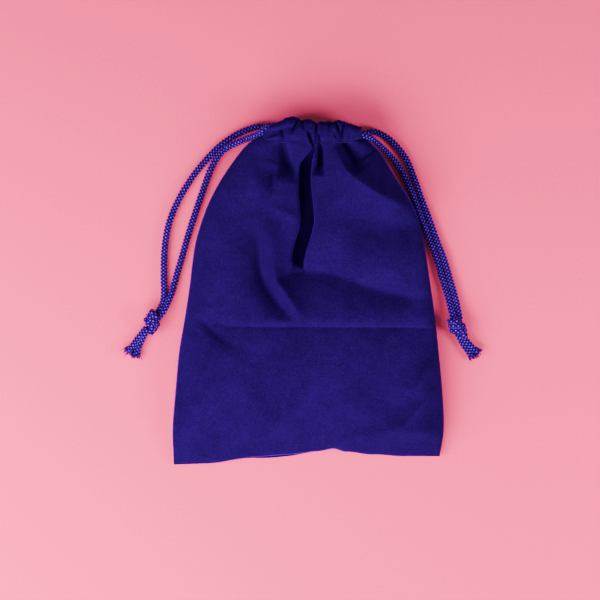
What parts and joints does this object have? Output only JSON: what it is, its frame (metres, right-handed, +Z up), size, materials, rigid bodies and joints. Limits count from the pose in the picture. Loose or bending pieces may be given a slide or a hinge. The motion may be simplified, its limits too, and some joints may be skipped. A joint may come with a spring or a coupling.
{
  "type": "drawstring gift pouch",
  "caption": "Flat velvet drawstring gift pouch lying closed, its neck gathered by two opposed braided cords that run through a sewn casing and end in knots.",
  "frame": {"origin": "on the surface the pouch lies on, under the middle of the pouch without its free cords", "axes": "+Y from the bottom towards the gathered mouth, +X to the right seen from the front, +Z up out of the front panel"},
  "size_m": [0.1189, 0.1137, 0.0123],
  "materials": {
    "velvet": "short-pile cotton velvet, deep royal blue, matt with a soft sheen",
    "velvet_wrong_side": "woven back of the velvet, matt, darker blue",
    "sewing_thread": "spun polyester thread, dark blue",
    "cord_braid": "round braided satin polyester cord, royal blue, with small bright highlights",
    "cord_fray": "loose ends of the same yarn, slightly frayed"
  },
  "bodies": {
    "pouch": {"back_panel": "velvet", "front_panel": "velvet", "back_casing": "velvet", "front_casing": "velvet", "left_side_seam": "velvet_wrong_side", "right_side_seam": "velvet_wrong_side", "bottom_seam": "velvet_wrong_side", "back_casing_stitching": "sewing_thread", "front_casing_stitching": "sewing_thread", "left_cord_turn": "cord_braid", "right_cord_turn": "cord_braid"},
    "left_cord": {"left_cord_front_run": "cord_braid", "left_cord_back_run": "cord_braid"},
    "left_cord_ends": {"left_cord_outer_strand": "cord_braid", "left_cord_inner_strand": "cord_braid", "left_cord_knot": "cord_braid", "left_cord_upper_tail": "cord_fray", "left_cord_lower_tail": "cord_fray"},
    "right_cord": {"right_cord_front_run": "cord_braid", "right_cord_back_run": "cord_braid"},
    "right_cord_ends": {"right_cord_outer_strand": "cord_braid", "right_cord_inner_strand": "cord_braid", "right_cord_knot": "cord_braid", "right_cord_upper_tail": "cord_fray", "right_cord_lower_tail": "cord_fray"}
  },
  "joints": [
    {"name": "left_cord_pull", "type": "slide", "parent": "pouch", "child": "left_cord", "axis": [-1, 0, 0], "range_m": [0, 0.008]},
    {"name": "left_cord_swing", "type": "hinge", "parent": "left_cord", "child": "left_cord_ends", "pos_m": [-0.014, 0.0547, 0.002], "axis": [0, 0, -1], "range_deg": [0, 60], "deforming": ["left_cord_outer_strand", "left_cord_inner_strand"]},
    {"name": "right_cord_pull", "type": "slide", "parent": "pouch", "child": "right_cord", "axis": [1, 0, 0], "range_m": [0, 0.008]},
    {"name": "right_cord_swing", "type": "hinge", "parent": "right_cord", "child": "right_cord_ends", "pos_m": [0.0174, 0.0519, 0.002], "axis": [0, 0, 1], "range_deg": [0, 60], "deforming": ["right_cord_outer_strand", "right_cord_inner_strand"]}
  ]
}
